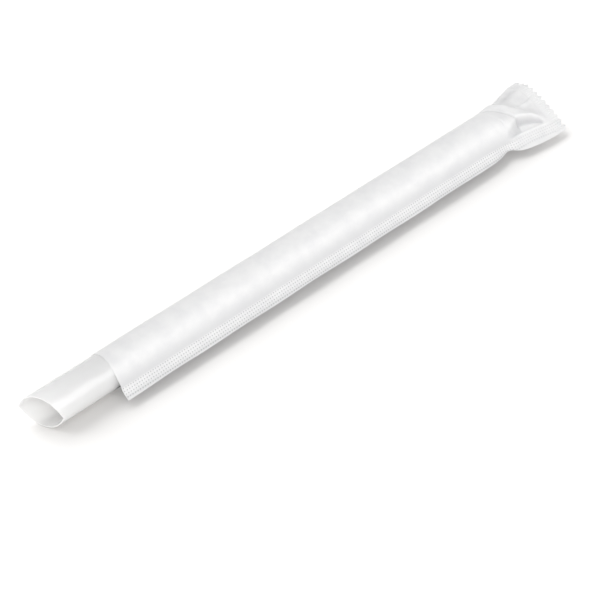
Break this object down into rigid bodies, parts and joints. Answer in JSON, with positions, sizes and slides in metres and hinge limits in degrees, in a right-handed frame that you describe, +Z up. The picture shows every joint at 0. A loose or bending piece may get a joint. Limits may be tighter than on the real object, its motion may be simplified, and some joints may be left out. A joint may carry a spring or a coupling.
{
  "type": "wrapped drinking straw",
  "caption": "Wide plastic drinking straw with a slanted tip, in a paper sleeve with a sealed side seam, an open mouth and a flattened zigzag end.",
  "frame": {"origin": "on the table, on the sleeve's flat underside, under the middle of the straw's length", "axes": "+X along the straw from its slanted cut to the sealed end of the sleeve, +Z up from the table, the sleeve's seam on the -Y side"},
  "size_m": [0.2148, 0.0232, 0.0124],
  "materials": {
    "straw": "glossy",
    "wrapper": "matte"
  },
  "bodies": {
    "root": {"straw": "straw", "wrapper": "wrapper"}
  },
  "joints": []
}
